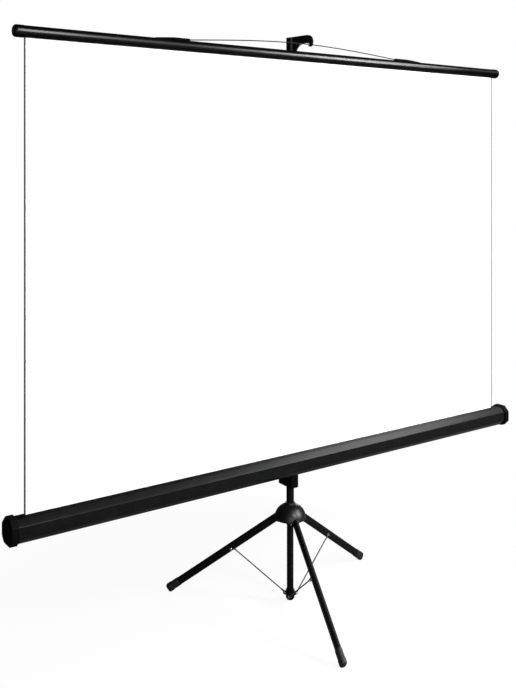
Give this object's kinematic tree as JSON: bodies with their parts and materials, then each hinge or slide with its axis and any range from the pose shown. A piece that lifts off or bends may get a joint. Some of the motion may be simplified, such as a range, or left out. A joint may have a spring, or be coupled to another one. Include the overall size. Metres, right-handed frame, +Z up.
{
  "type": "tripod projector screen",
  "caption": "Portable projection screen: white cloth drawn from a floor-height octagonal case up to a top bar hung on a telescopic mast with folding tripod legs.",
  "frame": {"origin": "on the floor, under the middle of the bounding box of the screen as set up", "axes": "+Z up, -Y towards the audience, +X to the right as the audience sees it; the mast's axis stands at x 0, y 0.0503"},
  "size_m": [1.878, 0.689, 1.8],
  "materials": {
    "screen_cloth": "matt white coated cloth",
    "case_paint": "satin charcoal black paint",
    "bar_paint": "gloss black paint",
    "black_paint": "semi-gloss black paint",
    "black_plastic": "moulded satin black",
    "foot_rubber": "matt black",
    "bright_steel": "bright drawn steel",
    "zinc_steel": "zinc-plated steel"
  },
  "bodies": {
    "mast": {"mast_tube": "black_paint", "mast_collar": "black_plastic", "lever_pin": "bright_steel", "hub_spider": "black_plastic", "hub_dome": "black_plastic", "hub_pin_left": "bright_steel", "hub_pin_front": "bright_steel", "hub_pin_right": "bright_steel"},
    "lower": {"lower_tube": "black_paint", "tube_plug": "black_plastic", "base_collar": "black_plastic", "collar_rivet_left": "bright_steel", "collar_rivet_front": "bright_steel", "collar_rivet_right": "bright_steel"},
    "leg_left_body": {"leg_left": "black_paint", "foot_cap_left": "foot_rubber", "leg_rivet_left": "bright_steel"},
    "leg_front_body": {"leg_front": "black_paint", "foot_cap_front": "foot_rubber", "leg_rivet_front": "bright_steel"},
    "leg_right_body": {"leg_right": "black_paint", "foot_cap_right": "foot_rubber", "leg_rivet_right": "bright_steel"},
    "brace_left_body": {"brace_left": "zinc_steel", "brace_rivet_left": "bright_steel"},
    "brace_front_body": {"brace_front": "zinc_steel", "brace_rivet_front": "bright_steel"},
    "brace_right_body": {"brace_right": "zinc_steel", "brace_rivet_right": "bright_steel"},
    "carriage": {"carriage_block": "black_plastic", "clamp_nut": "zinc_steel", "pivot_bolt": "zinc_steel", "pivot_washer": "zinc_steel"},
    "knob": {"clamp_knob": "black_plastic", "clamp_screw": "zinc_steel"},
    "case": {"case_shell": "case_paint", "end_cap_left": "black_plastic", "end_cap_right": "black_plastic", "bearing_plate_left": "zinc_steel", "bearing_plate_right": "zinc_steel", "spring_rod": "bright_steel", "pivot_plate": "case_paint", "cloth_sheet": "screen_cloth"},
    "roller": {"roller_tube": "zinc_steel", "idle_plug": "black_plastic", "spring_plug": "black_plastic", "roller_spring": "bright_steel", "cloth_roll": "screen_cloth"},
    "extension": {"inner_tube": "black_paint", "mast_hook": "black_plastic"},
    "bar": {"top_bar": "bar_paint", "bar_cap_left": "black_plastic", "bar_cap_right": "black_plastic", "bail_clip_left": "black_paint", "bail_clip_right": "black_paint"},
    "bail": {"bail_wire": "bright_steel"},
    "lever": {"release_lever": "black_plastic"}
  },
  "joints": [
    {"name": "legs_fold", "type": "slide", "parent": "mast", "child": "lower", "axis": [0, 0, -1], "range_m": [0, 0.162]},
    {"name": "leg_left_fold", "type": "hinge", "parent": "mast", "child": "leg_left_body", "pos_m": [-0.02682, 0.07722, 0.262], "axis": [-0.7083, -0.7059, 0], "range_deg": [0, 50.13]},
    {"name": "leg_front_fold", "type": "hinge", "parent": "mast", "child": "leg_front_body", "pos_m": [-0.0099, 0.01361, 0.262], "axis": [0.9655, -0.2605, 0], "range_deg": [0, 50.13]},
    {"name": "leg_right_fold", "type": "hinge", "parent": "mast", "child": "leg_right_body", "pos_m": [0.03672, 0.06007, 0.262], "axis": [-0.2571, 0.9664, 0], "range_deg": [0, 50.13]},
    {"name": "brace_left_fold", "type": "hinge", "parent": "lower", "child": "brace_left_body", "pos_m": [-0.01271, 0.06305, 0.024], "axis": [0.7083, 0.7059, 0], "range_deg": [0, 43.05]},
    {"name": "brace_front_fold", "type": "hinge", "parent": "lower", "child": "brace_front_body", "pos_m": [-0.00469, 0.03292, 0.024], "axis": [-0.9655, 0.2605, 0], "range_deg": [0, 43.05]},
    {"name": "brace_right_fold", "type": "hinge", "parent": "lower", "child": "brace_right_body", "pos_m": [0.0174, 0.05493, 0.024], "axis": [0.2571, -0.9664, 0], "range_deg": [0, 43.05]},
    {"name": "carriage_slide", "type": "slide", "parent": "mast", "child": "carriage", "axis": [0, 0, 1], "range_m": [-0.04, 0.1]},
    {"name": "case_level", "type": "hinge", "parent": "carriage", "child": "case", "pos_m": [0, 0.0213, 0.463], "axis": [0, 1, 0], "range_deg": [-1.5, 1.5]},
    {"name": "hook_slide", "type": "slide", "parent": "carriage", "child": "extension", "axis": [0, 0, -1], "range_m": [0, 0.545]},
    {"name": "bar_lower", "type": "slide", "parent": "case", "child": "bar", "axis": [0, 0, -1], "range_m": [0, 0.545], "deforming": ["cloth_sheet"]},
    {"name": "roller_spin", "type": "hinge", "parent": "case", "child": "roller", "pos_m": [0, -0.02275, 0.463], "axis": [-1, 0, 0], "range_deg": [0, 1760]},
    {"name": "bail_swing", "type": "hinge", "parent": "bar", "child": "bail", "pos_m": [0, -0.0047, 1.74775], "axis": [-1, 0, 0], "range_deg": [0, 90]},
    {"name": "clamp_knob_turn", "type": "hinge", "parent": "carriage", "child": "knob", "pos_m": [0.0263, 0.0813, 0.44], "axis": [1, 0, 0], "range_deg": [0, 720]},
    {"name": "release_lever_press", "type": "hinge", "parent": "mast", "child": "lever", "pos_m": [0, 0.0753, 1.086], "axis": [1, 0, 0], "range_deg": [0, 12], "stiffness_Nm_per_rad": 1.5}
  ],
  "couplings": [
    {"joint": "leg_left_fold", "follows": "legs_fold", "rad_per_m": 5.4008},
    {"joint": "leg_front_fold", "follows": "legs_fold", "rad_per_m": 5.4008},
    {"joint": "leg_right_fold", "follows": "legs_fold", "rad_per_m": 5.4008},
    {"joint": "brace_left_fold", "follows": "legs_fold", "rad_per_m": 4.638},
    {"joint": "brace_front_fold", "follows": "legs_fold", "rad_per_m": 4.638},
    {"joint": "brace_right_fold", "follows": "legs_fold", "rad_per_m": 4.638},
    {"joint": "bar_lower", "follows": "hook_slide", "ratio": 1},
    {"joint": "roller_spin", "follows": "hook_slide", "rad_per_m": 56.18}
  ]
}
